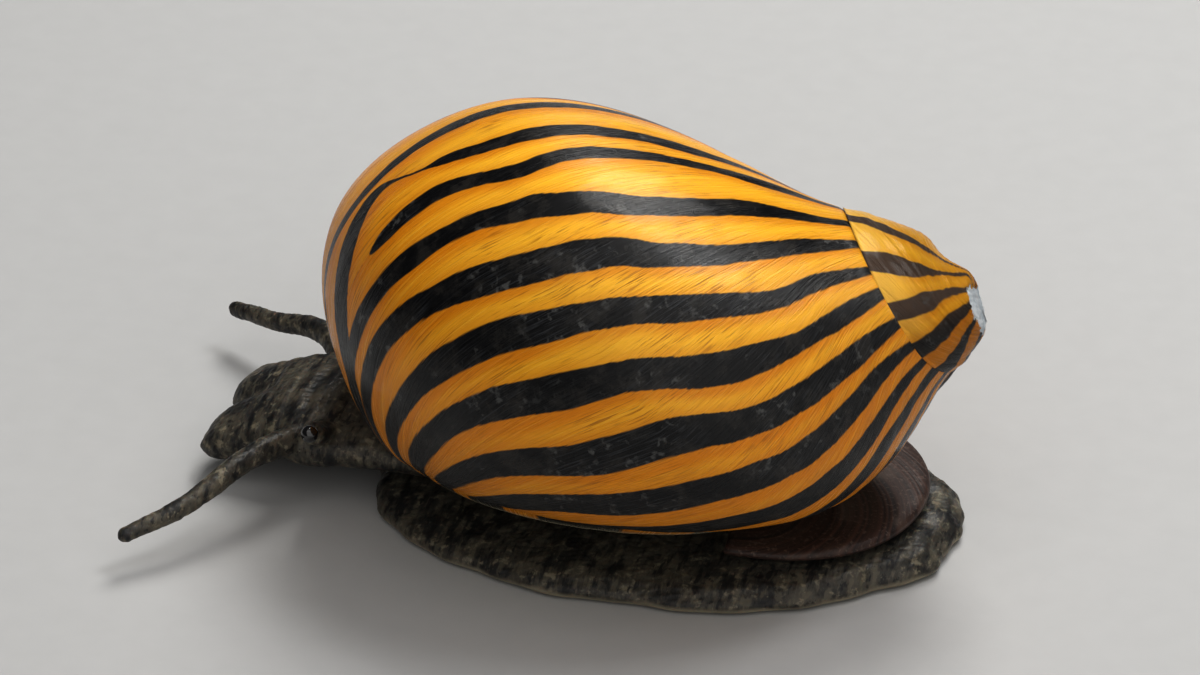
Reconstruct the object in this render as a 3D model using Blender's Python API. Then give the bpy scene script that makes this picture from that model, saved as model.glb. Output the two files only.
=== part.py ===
"""A tiger nerite: a small striped water snail, life size and still, crawling on its foot.

The head points to -X, the spire to +X, the animal's left side to -Y, and +Z is up.
The origin is the middle of the flat sole.
"""

import math

import bmesh
import bpy
import numpy as np
from mathutils import Matrix, Vector
from mathutils.bvhtree import BVHTree

MM = 0.001
GAP = 0.3 * MM

# Shell. Its coil is written as a turn angle about the coiling axis: 0 degrees is the left flank,
# 90 the crown, 180 the right flank. Radius is taken from the axis and drop along it from the apex.
AXIS_LENGTH = 20.7 * MM
AXIS_RISE = 20.6
AXIS_TURN = 12
FRONT_END = Vector((-7.6 * MM, -4.4 * MM, 3.1 * MM))
SUTURE_RADIUS = 2.56 * MM
SUTURE_DROP = 2.70 * MM
SUTURE_GROWTH = 3.75
WIDEST_RADIUS = 7.17 * MM
WIDEST_DROP = 10.07 * MM
RADIUS_GROWTH = 3.47
DROP_GROWTH = 3.76
DROP_SETTLES_AT = 117
DROP_SETTLES_OVER = 25
SHOULDER_POWER = 1.96
SUTURE_POWER = 0.78
UNDER_BASE_POWER = 2.0
BASE_POWER = 2.4
FRONT_LEAN = 0.35
FRONT_DIP = 1.3 * MM
LEAN_TURN = 27
SPIRE_BULGE = 0.3
LIP_TURN = 246
CORNER_TURN = 262
FLANK_TURN = 186
SPIRE_FLOOR = 3.4 * MM
TURN_STEPS = 90

# Tip of the spire, worn to a flat across the axis that reaches furthest out at the worn turn.
TIP_RADIUS = 1.0 * MM
TIP_DROP = 0.74 * MM
TIP_SWELL = 0.30 * MM
TIP_ROUNDING = 0.09 * MM
WORN_TURN = -55
CAP_RADIUS = 0.95 * MM
CAP_SEAT = 1.85 * MM

# Aperture, in the plane of the lip, which tips up a little towards the head.
LIP_TILT = 3
LIP_THICKNESS = 0.9 * MM
LIP_ROUNDING = 0.3 * MM
BASE_ROUNDING = 1.8 * MM
POCKET_DEPTH = 3.0 * MM
DECK_EDGE = -0.6 * MM
TOOTH_COUNT = 7
TOOTH_HEIGHT = 0.18 * MM

# Foot. The sole lies on the floor, and a stalk joins its upper side to the mantle.
FOOT_LENGTH = 20.6 * MM
FOOT_WIDTH = 14.2 * MM
FOOT_EDGE = 0.42 * MM
FOOT_FRONT_TOP = 0.75 * MM
FOOT_REAR_TOP = 1.05 * MM
STALK_CENTRE = (-3.3 * MM, 1.6 * MM)
STALK_LENGTH = 8.2 * MM
STALK_WIDTH = 6.0 * MM

# Operculum, carried flat on the rear of the foot.
OPERCULUM_FRONT = 3.3 * MM
OPERCULUM_LENGTH = 5.8 * MM
OPERCULUM_WIDTH = 10.0 * MM
OPERCULUM_THICKNESS = 0.5 * MM

# Head and neck. Each station gives distance forward, height, half width and half height.
HEAD_MIDDLE = -0.6 * MM
NECK_START = 8.1 * MM
HEAD_START = 11.1 * MM
SNOUT_START = 13.5 * MM
SNOUT_END = 16.1 * MM
HEAD_STATIONS = np.array([
    (8.1, 1.90, 2.70, 0.80),
    (10.4, 1.92, 2.95, 0.84),
    (12.0, 2.02, 3.25, 1.12),
    (13.4, 1.92, 2.80, 1.12),
    (14.5, 1.62, 2.75, 1.00),
    (15.4, 1.36, 2.85, 0.82),
    (16.1, 1.20, 2.20, 0.45),
]) * MM
CLEFT_DEPTH = 0.45 * MM
MOUTH_SLIT = Vector((0.75 * MM, 0.14 * MM, 0.4 * MM))

# Tentacles and eyes. The routes give distance forward, distance out from the head's middle and height.
TENTACLE_ROUTES = {
    "left": np.array([(12.1, -2.1, 2.3), (13.5, -4.7, 2.45), (14.9, -7.1, 1.8), (16.6, -9.0, 1.3)]) * MM,
    "right": np.array([(12.0, 2.0, 2.3), (13.8, 4.2, 2.5), (16.1, 5.2, 2.05), (18.2, 6.4, 1.6)]) * MM,
}
TENTACLE_BASE_RADIUS = 0.5 * MM
TENTACLE_TIP_RADIUS = 0.28 * MM
EYESTALK_ROOT = Vector((11.55 * MM, 2.3 * MM, 2.5 * MM))
EYESTALK_LEAN = Vector((-0.1, 1.0, 0.55)).normalized()
EYESTALK_LENGTH = 1.85 * MM
EYESTALK_RADIUS = 0.42 * MM
EYE_RADIUS = 0.3 * MM
EYE_GAP = 0.15 * MM

AXIS = Vector((math.cos(math.radians(AXIS_RISE)) * math.cos(math.radians(AXIS_TURN)),
               math.cos(math.radians(AXIS_RISE)) * math.sin(math.radians(AXIS_TURN)),
               math.sin(math.radians(AXIS_RISE))))
LEFTWARD = Vector((math.sin(math.radians(AXIS_TURN)), -math.cos(math.radians(AXIS_TURN)), 0))
UPWARD = LEFTWARD.cross(AXIS)
APEX = FRONT_END + AXIS_LENGTH * AXIS
LIP_NORMAL = Vector((math.sin(math.radians(LIP_TILT)), 0, math.cos(math.radians(LIP_TILT))))
SHELL_AXES = np.array([LEFTWARD, UPWARD, -AXIS])
LIP_NORMAL_IN_SHELL = SHELL_AXES @ np.array(LIP_NORMAL)


def start_empty():
    for thing in list(bpy.data.objects):
        bpy.data.objects.remove(thing, do_unlink=True)


def material(name, colour, roughness, coat=0.0):
    made = bpy.data.materials.new(name)
    made.use_nodes = True
    shader = made.node_tree.nodes["Principled BSDF"]
    shader.inputs["Base Color"].default_value = (*colour, 1)
    shader.inputs["Roughness"].default_value = roughness
    shader.inputs["Metallic"].default_value = 0.0
    shader.inputs["Coat Weight"].default_value = coat
    return made


def smoothstep(value, low, high):
    part = np.clip((value - low) / (high - low), 0, 1)
    return part * part * (3 - 2 * part)


def lofted(name, rings, look, start=None, end=None, parent=None):
    """One closed surface through rings of points, with a fan to a middle point at each end."""
    rings = [np.asarray(ring, dtype=float) for ring in rings]
    count = len(rings[0])
    start = rings[0].mean(axis=0) if start is None else start
    end = rings[-1].mean(axis=0) if end is None else end
    points = np.concatenate(rings + [[start], [end]])
    first, last = len(points) - 2, len(points) - 1
    base = (len(rings) - 1) * count
    faces = []
    for step in range(count):
        after = (step + 1) % count
        faces.append((first, after, step))
        faces.append((last, base + step, base + after))
        for row in range(0, base, count):
            faces.append((row + step, row + after, row + count + after, row + count + step))
    mesh = bpy.data.meshes.new(name)
    mesh.from_pydata([tuple(point) for point in points], [], faces)
    shape = bmesh.new()
    shape.from_mesh(mesh)
    bmesh.ops.recalc_face_normals(shape, faces=shape.faces)
    shape.to_mesh(mesh)
    shape.free()
    mesh.shade_smooth()
    mesh.set_sharp_from_angle(angle=math.radians(40))
    made = bpy.data.objects.new(name, mesh)
    bpy.context.collection.objects.link(made)
    if look:
        mesh.materials.append(look)
    made.parent = parent
    return made


def frame_empty(name, origin, rotation, parent=None):
    made = bpy.data.objects.new(name, None)
    bpy.context.collection.objects.link(made)
    made.matrix_world = Matrix.Translation(origin) @ rotation.to_4x4()
    made.parent = parent
    return made


def columns(first, second, third):
    return Matrix((first, second, third)).transposed()


def grown(size, growth, turn):
    return size * growth ** (turn / 360)


def suture(turn):
    return grown(SUTURE_RADIUS, SUTURE_GROWTH, turn), grown(SUTURE_DROP, SUTURE_GROWTH, turn)


def whorl(turn, along):
    """Points on the last whorl: along runs from the suture (0) over the widest (0.5) to the front (1)."""
    seam_radius, seam_drop = suture(turn)
    past = max(turn - DROP_SETTLES_AT, 0)
    settled = min(turn, DROP_SETTLES_AT) + DROP_SETTLES_OVER * (1 - math.exp(-past / DROP_SETTLES_OVER))
    widest_radius = grown(WIDEST_RADIUS, RADIUS_GROWTH, turn)
    widest_drop = grown(WIDEST_DROP, DROP_GROWTH, settled)
    base_power = UNDER_BASE_POWER + (BASE_POWER - UNDER_BASE_POWER) * smoothstep(turn, 7, 87)
    along = np.asarray(along, dtype=float)
    rise = np.sin(np.clip(along, 0, 0.5) * math.pi)
    fall = np.sin((np.clip(along, 0.5, 1) - 0.5) * math.pi)
    swell = (1 - (1 - rise) ** SHOULDER_POWER) ** (1 / SUTURE_POWER)
    above = seam_radius + (widest_radius - seam_radius) * swell
    below = widest_radius * np.clip(1 - fall ** base_power, 0, 1) ** (1 / base_power)
    radius = np.where(along < 0.5, above, below)
    drop = np.where(along < 0.5, seam_drop + (widest_drop - seam_drop) * rise,
                    widest_drop + (AXIS_LENGTH - widest_drop) * fall)
    lean = FRONT_LEAN * math.sin(math.radians(turn - LEAN_TURN)) * smoothstep(fall, 0, 1)
    dip = FRONT_DIP * fall[:, None] ** 4 * LIP_NORMAL_IN_SHELL
    return shell_point(turn, radius, drop + lean * radius) - dip


def spire_drop(turn, radius):
    """Drop of the older whorls at a radius: a cone that swells between sutures and ends in a worn flat."""
    seam_turn = 360 * np.log(radius / SUTURE_RADIUS) / math.log(SUTURE_GROWTH)
    phase = ((turn - seam_turn) / 360) % 1.0
    bulge = SPIRE_BULGE * 4 * phase * (1 - phase) * smoothstep(radius, TIP_RADIUS, 2.8 * TIP_RADIUS)
    swell = TIP_SWELL * (1 + 0.4 * math.cos(math.radians(turn - WORN_TURN)))
    swell = swell * np.exp(-(np.maximum(radius - TIP_RADIUS, 0) / TIP_RADIUS) ** 2)
    cone = radius * (SUTURE_DROP / SUTURE_RADIUS - bulge) - swell
    return (cone + TIP_DROP + np.sqrt((cone - TIP_DROP) ** 2 + TIP_ROUNDING ** 2)) / 2


def shell_point(turn, radius, drop):
    angle = math.radians(turn)
    return np.stack([radius * math.cos(angle), radius * math.sin(angle), drop], axis=-1)


def around_corner(profile, turn):
    """Past the lip the profile runs back to that of the whorl a full turn younger, one closed coil."""
    share = smoothstep(turn, LIP_TURN, CORNER_TURN)
    if share == 0:
        return profile(turn)
    return (1 - share) * profile(turn) + share * profile(turn - 360)


def coil_turns():
    """The turns of the profiles, closest together where the lip runs along the right flank."""
    turn = np.linspace(CORNER_TURN - 360, CORNER_TURN, 2000)
    passed = np.cumsum(1 + 2.5 * np.exp(-((turn - FLANK_TURN) / 9) ** 2))
    return np.interp(np.linspace(passed[0], passed[-1], TURN_STEPS, endpoint=False), passed, turn)


def rings_of(profile):
    """The points of one profile at every turn, sorted into rings around the axis."""
    return np.swapaxes(np.array([around_corner(profile, turn) for turn in coil_turns()]), 0, 1)


def lip_height(points):
    """How far points of the shell's frame lie over the plane of the lip."""
    return (points @ SHELL_AXES + np.array(APEX - FRONT_END)) @ np.array(LIP_NORMAL)


def settled_on_lip(points):
    """Lift what would lie under the lip's plane up to it: crisply at the lip, roundly under the left flank."""
    height = lip_height(points)
    rounding = BASE_ROUNDING + (LIP_ROUNDING - BASE_ROUNDING) * smoothstep(-points[..., 0], -3 * MM, 1 * MM)
    lifted = 0.5 * (height + np.sqrt(height ** 2 + rounding ** 2))
    return points + (lifted - height)[..., None] * LIP_NORMAL_IN_SHELL


def lip_crossing(turn):
    """Where along the whorl its surface dips under the plane of the lip."""
    along = np.linspace(0.08, 1.0, 400)
    return along[np.nonzero(lip_height(whorl(turn, along)) < 0)[0][0]]


def body_profile(turn):
    """From inside the seat of the spire out to the suture, over the whorl and down to the lip."""
    near = np.linspace(0, 0.2, 200)
    points = whorl(turn, near)
    clear = near[np.nonzero(np.linalg.norm(points - points[0], axis=1) > GAP)[0][0]]
    outer = whorl(turn, clear + (lip_crossing(turn) - clear) * np.linspace(0, 1, 24) ** 1.1)
    centre = np.array([0, 0, SPIRE_FLOOR + GAP])
    seat = [centre + share * (outer[0] - centre) for share in (0.35, 0.7)]
    return np.concatenate([seat, outer])


def underside(rim):
    """Rings from the rim in to the middle of the flat underside."""
    middle = rim.mean(axis=0)
    middle = middle - lip_height(middle) * LIP_NORMAL_IN_SHELL
    rings = []
    for share in (0.985, 0.95, 0.89, 0.8, 0.6, 0.3):
        ring = middle + (rim - middle) * share
        wanted = lip_height(rim) * max((share - 0.8) / 0.2, 0) ** 2
        rings.append(ring + (wanted - lip_height(ring))[:, None] * LIP_NORMAL_IN_SHELL)
    return rings, middle


def spire_profile(turn):
    seam_radius, seam_drop = suture(turn)
    groove = max(seam_radius / SUTURE_GROWTH, 1.25 * CAP_RADIUS)
    radius = np.concatenate([np.geomspace(CAP_RADIUS, groove, 5), np.geomspace(groove, seam_radius, 8)[1:]])
    drop = spire_drop(turn, radius)
    seat = np.array([0.97, 0.7, 0.35])
    radius = np.concatenate([radius, seam_radius * seat])
    drop = np.concatenate([drop, SPIRE_FLOOR + (seam_drop - SPIRE_FLOOR) * seat])
    return shell_point(turn, radius, drop)


def cap_profile(turn):
    dome = np.array([0.22, 0.44, 0.66])
    seat = np.array([0.64, 0.35])
    drop = np.concatenate([spire_drop(turn, CAP_RADIUS * dome),
                           CAP_SEAT - GAP + (spire_drop(turn, CAP_RADIUS) - CAP_SEAT) * seat])
    return shell_point(turn, CAP_RADIUS * np.concatenate([dome, seat]), drop)


def evenly_spaced(curve, count):
    travelled = np.concatenate([[0], np.cumsum(np.linalg.norm(np.diff(curve, axis=0), axis=1))])
    even = np.linspace(0, travelled[-1], count)
    return np.stack([np.interp(even, travelled, curve[:, side]) for side in range(curve.shape[1])], axis=-1)


def aperture_outline(inset, tooth_height):
    """The D of the aperture: an inset of the lip, closed by the toothed edge of the deck."""
    rim = np.array([whorl(turn, [lip_crossing(turn)])[0] for turn in np.linspace(60, LIP_TURN, 120)])
    rim = (rim @ SHELL_AXES + np.array(APEX - FRONT_END))[:, :2]
    rim = evenly_spaced(rim, 90)
    step = np.gradient(rim, axis=0)
    inward = np.stack([-step[:, 1], step[:, 0]], axis=-1) / np.linalg.norm(step, axis=1)[:, None]
    inward *= np.sign(np.sum(inward[45] * (rim.mean(axis=0) - rim[45])))
    inner = rim + inset * inward
    right = -np.array(LEFTWARD.xy)
    curve = evenly_spaced(inner[inner @ right > DECK_EDGE + inset], 34)
    share = np.linspace(0, 1, 44)[1:-1]
    teeth = tooth_height * np.sin(math.pi * share) * (0.5 - 0.5 * np.cos(2 * math.pi * TOOTH_COUNT * share))
    straight = curve[-1] + share[:, None] * (curve[0] - curve[-1])
    return np.concatenate([curve, straight + teeth[:, None] * right])


def prism(name, outline, low, high, look, parent, top_inset=0.6 * MM):
    middle = outline.mean(axis=0)
    rings = []
    for height, shrink in ((low, 0), (high - top_inset, 0), (high - 0.3 * top_inset, 0.35), (high, 1)):
        reach = np.linalg.norm(outline - middle, axis=1, keepdims=True)
        ring = middle + (outline - middle) * (1 - shrink * top_inset / reach)
        rings.append(np.column_stack([ring, np.full(len(ring), height)]))
    return lofted(name, rings, look, parent=parent)


def make_shell(root, looks):
    coil = frame_empty("shell_axis", APEX, columns(LEFTWARD, UPWARD, -AXIS), root)
    lip = frame_empty("shell_lip", FRONT_END, Matrix.Rotation(math.radians(LIP_TILT), 3, "Y"), root)
    rings = [settled_on_lip(ring) for ring in rings_of(body_profile)]
    below, middle = underside(rings[-1])
    body = lofted("shell_body_whorl", rings + below, looks["shell"], (0, 0, SPIRE_FLOOR + GAP), middle, coil)
    lofted("shell_spire", rings_of(spire_profile), looks["shell"], (0, 0, CAP_SEAT), (0, 0, SPIRE_FLOOR), coil)
    lofted("shell_apex", rings_of(cap_profile), looks["apex"], (0, 0, TIP_DROP), (0, 0, CAP_SEAT - GAP), coil)
    cutter = prism("aperture_cutter", aperture_outline(LIP_THICKNESS, TOOTH_HEIGHT), -2 * MM, POCKET_DEPTH, None, lip)
    cutter.hide_render = True
    cutter.display_type = "WIRE"
    cut = body.modifiers.new("aperture", "BOOLEAN")
    cut.operation = "DIFFERENCE"
    cut.object = cutter
    prism("mantle", aperture_outline(LIP_THICKNESS + GAP + TOOTH_HEIGHT, 0), -0.15 * MM, POCKET_DEPTH - GAP,
          looks["mantle"], lip)


def superellipse(count, power):
    """Points of a rounded oval of half size one, starting at the head's end."""
    angle = np.linspace(0, 2 * math.pi, count, endpoint=False)
    across, along = np.sin(angle), np.cos(angle)
    return np.stack([np.sign(along) * np.abs(along) ** (2 / power),
                     np.sign(across) * np.abs(across) ** (2 / power)], axis=-1)


def foot_outline(inset):
    """The foot from above: broad and blunt in front, tapering behind, its margin gently waved."""
    shape = superellipse(56, 2.3)
    angle = np.arctan2(shape[:, 1], shape[:, 0])
    taper = np.where(shape[:, 0] < 0, 1 - 0.22 * shape[:, 0] ** 2, 1 + 0.04 * shape[:, 0])
    wave = 1 + 0.010 * np.sin(9 * angle + 1) + 0.007 * np.sin(14 * angle + 2)
    half = np.array([FOOT_LENGTH / 2 - inset, FOOT_WIDTH / 2 - inset])
    outline = shape * half * np.stack([wave, wave * taper], axis=-1)
    return outline * (-1, 1)


def foot_top(x):
    return FOOT_FRONT_TOP + (FOOT_REAR_TOP - FOOT_FRONT_TOP) * smoothstep(x, -FOOT_LENGTH / 2, FOOT_LENGTH / 4)


def lip_plane_height(x):
    return FRONT_END.z - math.tan(math.radians(LIP_TILT)) * (x - FRONT_END.x)


def make_foot(root, look):
    rings = []
    for inset, height in ((0.6, 0), (0.22, 0.1), (0, FOOT_EDGE / MM), (0.15, 0.6)):
        outline = foot_outline(inset * MM)
        rings.append(np.column_stack([outline, np.full(len(outline), height * MM)]))
    for inset in (0.6, 1.6, 3.0):
        outline = foot_outline(inset * MM)
        share = 0.9 if inset < 1 else 1
        rings.append(np.column_stack([outline, foot_top(outline[:, 0]) * share]))
    shape = superellipse(56, 2.2) * (-1, 1)
    for scale, climb in ((1.1, 0.12), (0.98, 0.45), (0.94, 1)):
        stalk = np.array(STALK_CENTRE) + shape * np.array([STALK_LENGTH, STALK_WIDTH]) / 2 * scale
        low = foot_top(stalk[:, 0])
        high = lip_plane_height(stalk[:, 0]) - 0.15 * MM - GAP
        rings.append(np.column_stack([stalk, low + (high - low) * climb]))
    lofted("foot", rings, look, start=(0, 0, 0), parent=root)


def make_operculum(root, look):
    """A thin half-moon plate with a domed outer face."""
    angle = np.linspace(-math.pi / 2, math.pi / 2, 23)
    bow = np.stack([np.cos(angle) ** 0.8 * OPERCULUM_LENGTH, np.sin(angle) * OPERCULUM_WIDTH / 2], axis=-1)
    chord = np.linspace(OPERCULUM_WIDTH / 2, -OPERCULUM_WIDTH / 2, 13)[1:-1]
    edge = np.stack([-0.35 * MM * np.cos(chord / OPERCULUM_WIDTH * math.pi), chord], axis=-1)
    outline = np.concatenate([bow, edge]) + (OPERCULUM_FRONT, 0)
    middle = outline.mean(axis=0)
    low = FOOT_REAR_TOP + GAP
    rings = []
    for share, height in ((0.9, 0), (1, 0.25), (0.97, 0.7), (0.85, 0.95), (0.4, 1)):
        ring = middle + (outline - middle) * share
        rings.append(np.column_stack([ring, np.full(len(ring), low + height * OPERCULUM_THICKNESS)]))
    lofted("operculum", rings, look, parent=root)


def spline(knots, values, at):
    """Smooth values between knots, each slope taken from the knots beside it."""
    slope = np.gradient(values, knots, axis=0)
    at = np.atleast_1d(at)
    left = np.clip(np.searchsorted(knots, at, side="right") - 1, 0, len(knots) - 2)
    width = knots[left + 1] - knots[left]
    part = (at - knots[left]) / width
    part, width = part[:, None], width[:, None]
    return ((1 + 2 * part) * (1 - part) ** 2 * values[left] + part * (1 - part) ** 2 * width * slope[left]
            + part ** 2 * (3 - 2 * part) * values[left + 1] + part ** 2 * (part - 1) * width * slope[left + 1])


def head_ring(forward, shrink=1.0):
    height, half_width, half_height = spline(HEAD_STATIONS[:, 0], HEAD_STATIONS[:, 1:], forward)[0]
    shape = superellipse(32, 2.5)
    across = shape[:, 0] * half_width * shrink
    cleft = CLEFT_DEPTH * smoothstep(forward, SNOUT_START, SNOUT_END) * np.exp(-(across / (0.7 * MM)) ** 2)
    return np.stack([-forward + cleft, HEAD_MIDDLE + across,
                     height + shape[:, 1] * half_height * shrink], axis=-1)


def head_length(name, start, end, look, root, rounded_front=False):
    rings = [head_ring(start, 0.93)]
    rings += [head_ring(forward) for forward in np.linspace(start + 0.12 * MM, end - 0.12 * MM, 8)]
    if rounded_front:
        rings += [head_ring(end + 0.05 * MM, 0.86), head_ring(end + 0.12 * MM, 0.6)]
    else:
        rings.append(head_ring(end, 0.93))
    return lofted(name, rings, look, parent=root)


def make_head(root, look):
    head_length("neck", NECK_START, HEAD_START - GAP, look, root)
    head = head_length("head", HEAD_START, SNOUT_START - GAP, look, root)
    snout = head_length("snout", SNOUT_START, SNOUT_END, look, root, rounded_front=True)
    bpy.ops.mesh.primitive_uv_sphere_add(segments=16, ring_count=10, radius=1)
    slit = bpy.context.object
    slit.name = "mouth_cutter"
    slit.scale = MOUTH_SLIT
    slit.location = (-SNOUT_END + 0.25 * MM, HEAD_MIDDLE, 0.85 * MM)
    slit.hide_render = True
    slit.display_type = "WIRE"
    mouth = snout.modifiers.new("mouth", "BOOLEAN")
    mouth.operation = "DIFFERENCE"
    mouth.object = slit
    return head


def unit(vectors):
    return vectors / np.linalg.norm(vectors, axis=-1, keepdims=True)


def tube_rings(route, radii):
    """Rings across a route that is never upright."""
    heading = unit(np.gradient(route, axis=0))
    side = unit(np.cross(heading, (0, 0, 1)))
    up = np.cross(side, heading)
    angle = np.linspace(0, 2 * math.pi, 12, endpoint=False)[:, None]
    spread = np.cos(angle) * side[:, None] + np.sin(angle) * up[:, None]
    return route[:, None] + np.asarray(radii)[:, None, None] * spread, heading


def seated(ring, heading, surface):
    """Move a ring back along its heading until each of its points is a gap away from a surface."""
    moved = []
    for point in ring:
        hit = surface.ray_cast(Vector(point + 3 * MM * heading), -Vector(heading))[0]
        moved.append(point if hit is None else np.array(hit) + GAP * heading)
    return np.array(moved)


def make_tentacle(side, surface, root, look):
    """Three lengths of one tapering feeler, each a thirtieth of the whole away from the last."""
    stations = TENTACLE_ROUTES[side] * (-1, 1, 1) + (0, HEAD_MIDDLE, 0)
    knots = np.linspace(0, 1, len(stations))
    route = evenly_spaced(spline(knots, stations, np.linspace(0, 1, 200)), 91)
    radii = TENTACLE_BASE_RADIUS + (TENTACLE_TIP_RADIUS - TENTACLE_BASE_RADIUS) * np.linspace(0, 1, 91)
    rings, heading = tube_rings(route, radii)
    reach = np.array([surface.find_nearest(Vector(point))[3] for point in route])
    clear = 3 + 3 * (np.nonzero(reach < radii + GAP)[0][-1] // 3)
    for name, first, last in (("base", clear, 30), ("middle", 33, 60), ("tip", 63, 90)):
        length = list(rings[first:last + 1:3])
        if name == "base":
            length.insert(0, seated(length[0], heading[first], surface))
        if name == "tip":
            length += [route[90] + (rings[90] - route[90]) * math.cos(angle)
                       + heading[90] * radii[90] * math.sin(angle) for angle in (0.45, 0.9, 1.25)]
        lofted(f"tentacle_{side}_{name}", length, look, parent=root)


def make_eye(side, surface, root, skin, black):
    mirror = np.array([-1, -1 if side == "left" else 1, 1])
    base = np.array(EYESTALK_ROOT) * mirror + (0, HEAD_MIDDLE, 0)
    heading = np.array(EYESTALK_LEAN) * mirror
    route = base + np.linspace(0, EYESTALK_LENGTH, 6)[:, None] * heading
    rings, _ = tube_rings(route, EYESTALK_RADIUS * np.array([1.15, 1.1, 1.05, 1, 0.97, 0.9]))
    foot = seated(rings[-2], heading, surface)
    tip = rings[-1]
    lofted(f"eyestalk_{side}", [foot, (foot + tip) / 2, tip, route[-1] + (tip - route[-1]) * 0.8], skin,
           parent=root)
    bpy.ops.mesh.primitive_uv_sphere_add(segments=16, ring_count=10, radius=EYE_RADIUS,
                                         location=route[-1] + heading * (EYE_GAP + EYE_RADIUS))
    eye = bpy.context.object
    eye.name = f"eye_{side}"
    eye.data.shade_smooth()
    eye.data.materials.append(black)
    eye.parent = root


def main():
    start_empty()
    looks = {
        "shell": material("striped_shell", (0.78, 0.42, 0.06), 0.25, 0.6),
        "apex": material("worn_apex", (0.8, 0.8, 0.76), 0.6),
        "mantle": material("mantle_skin", (0.05, 0.05, 0.055), 0.5),
        "skin": material("mottled_skin", (0.2, 0.19, 0.17), 0.45),
        "sole": material("foot_skin", (0.42, 0.4, 0.36), 0.5),
        "eye": material("eye_black", (0.01, 0.01, 0.012), 0.15, 1.0),
        "operculum": material("operculum_plate", (0.12, 0.08, 0.07), 0.4),
    }
    root = frame_empty("snail", Vector((0, 0, 0)), Matrix.Identity(3))
    make_shell(root, looks)
    make_foot(root, looks["sole"])
    make_operculum(root, looks["operculum"])
    head = make_head(root, looks["skin"])
    shape = bmesh.new()
    shape.from_mesh(head.data)
    surface = BVHTree.FromBMesh(shape)
    shape.free()
    for side in ("left", "right"):
        make_tentacle(side, surface, root, looks["skin"])
        make_eye(side, surface, root, looks["skin"], looks["eye"])


main()
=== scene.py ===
"""Looks of a striped nerite snail: glossy banded shell, moist mottled skin, pale studio floor."""

import math

import bmesh
import bpy
import numpy as np
from mathutils import Matrix, Vector


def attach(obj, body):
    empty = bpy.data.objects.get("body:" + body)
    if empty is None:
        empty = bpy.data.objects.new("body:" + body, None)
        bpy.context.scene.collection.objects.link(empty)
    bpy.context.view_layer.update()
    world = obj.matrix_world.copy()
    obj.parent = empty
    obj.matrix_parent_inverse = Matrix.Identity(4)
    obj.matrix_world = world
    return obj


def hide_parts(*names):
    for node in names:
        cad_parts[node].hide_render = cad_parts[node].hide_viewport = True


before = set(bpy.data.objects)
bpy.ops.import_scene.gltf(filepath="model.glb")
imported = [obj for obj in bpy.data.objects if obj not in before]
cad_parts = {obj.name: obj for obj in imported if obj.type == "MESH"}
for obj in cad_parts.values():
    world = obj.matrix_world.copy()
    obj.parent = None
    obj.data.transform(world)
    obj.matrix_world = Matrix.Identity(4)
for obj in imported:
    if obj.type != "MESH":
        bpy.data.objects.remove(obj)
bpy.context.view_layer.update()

MM = 0.001

# Shell, with the same driving sizes as the solids, in millimetres and degrees.
AXIS_LENGTH = 20.7
AXIS_RISE = math.radians(20.6)
AXIS_TURN = math.radians(12)
FRONT_END = np.array([-7.6, -4.4, 3.1])
SUTURE_RADIUS = 2.56
SUTURE_DROP = 2.70
SUTURE_GROWTH = 3.75
WIDEST_RADIUS = 7.17
WIDEST_DROP = 10.07
RADIUS_GROWTH = 3.47
DROP_GROWTH = 3.76
DROP_SETTLES_AT = 117
DROP_SETTLES_OVER = 25
SHOULDER_POWER = 1.96
SUTURE_POWER = 0.78
UNDER_BASE_POWER = 2.0
BASE_POWER = 2.4
FRONT_LEAN = 0.35
FRONT_DIP = 1.3
LEAN_TURN = 27
SPIRE_BULGE = 0.3
TIP_RADIUS = 1.0
TIP_DROP = 0.74
TIP_SWELL = 0.30
TIP_ROUNDING = 0.09
WORN_TURN = -55
WORN_RADIUS = 1.08
WORN_OFFSET = 0.12
WORN_EDGE = -0.36
NOT_WORN = -9
LIP_TURN = 246
CORNER_TURN = 262
LIP_STEP = 7
FLANK_TURN = 186
LIP_TILT = math.radians(3)
LIP_THICKNESS = 0.9
LIP_ROUNDING = 0.3
BASE_ROUNDING = 1.8
POCKET_DEPTH = 2.6
DECK_EDGE = -0.6
TOOTH_COUNT = 7
TOOTH_HEIGHT = 0.22
# Outward from the aperture's edge, and up from the lip's plane.
POCKET_PROFILE = ((0.10, 0.0), (0.04, 0.02), (0.0, 0.08), (-0.02, 0.18), (0.02, 0.6), (0.0, 1.2),
                  (-0.05, 2.0), (-0.25, 2.4), (-0.6, POCKET_DEPTH))

AXIS = np.array([math.cos(AXIS_RISE) * math.cos(AXIS_TURN),
                 math.cos(AXIS_RISE) * math.sin(AXIS_TURN),
                 math.sin(AXIS_RISE)])
LEFTWARD = np.array([math.sin(AXIS_TURN), -math.cos(AXIS_TURN), 0])
UPWARD = np.cross(LEFTWARD, AXIS)
APEX = FRONT_END + AXIS_LENGTH * AXIS
SHELL_AXES = np.array([LEFTWARD, UPWARD, -AXIS])
LIP_NORMAL = np.array([math.sin(LIP_TILT), 0, math.cos(LIP_TILT)])
LIP_NORMAL_IN_SHELL = SHELL_AXES @ LIP_NORMAL
LIP_FORWARD = np.array([math.cos(LIP_TILT), 0, -math.sin(LIP_TILT)])

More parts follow.
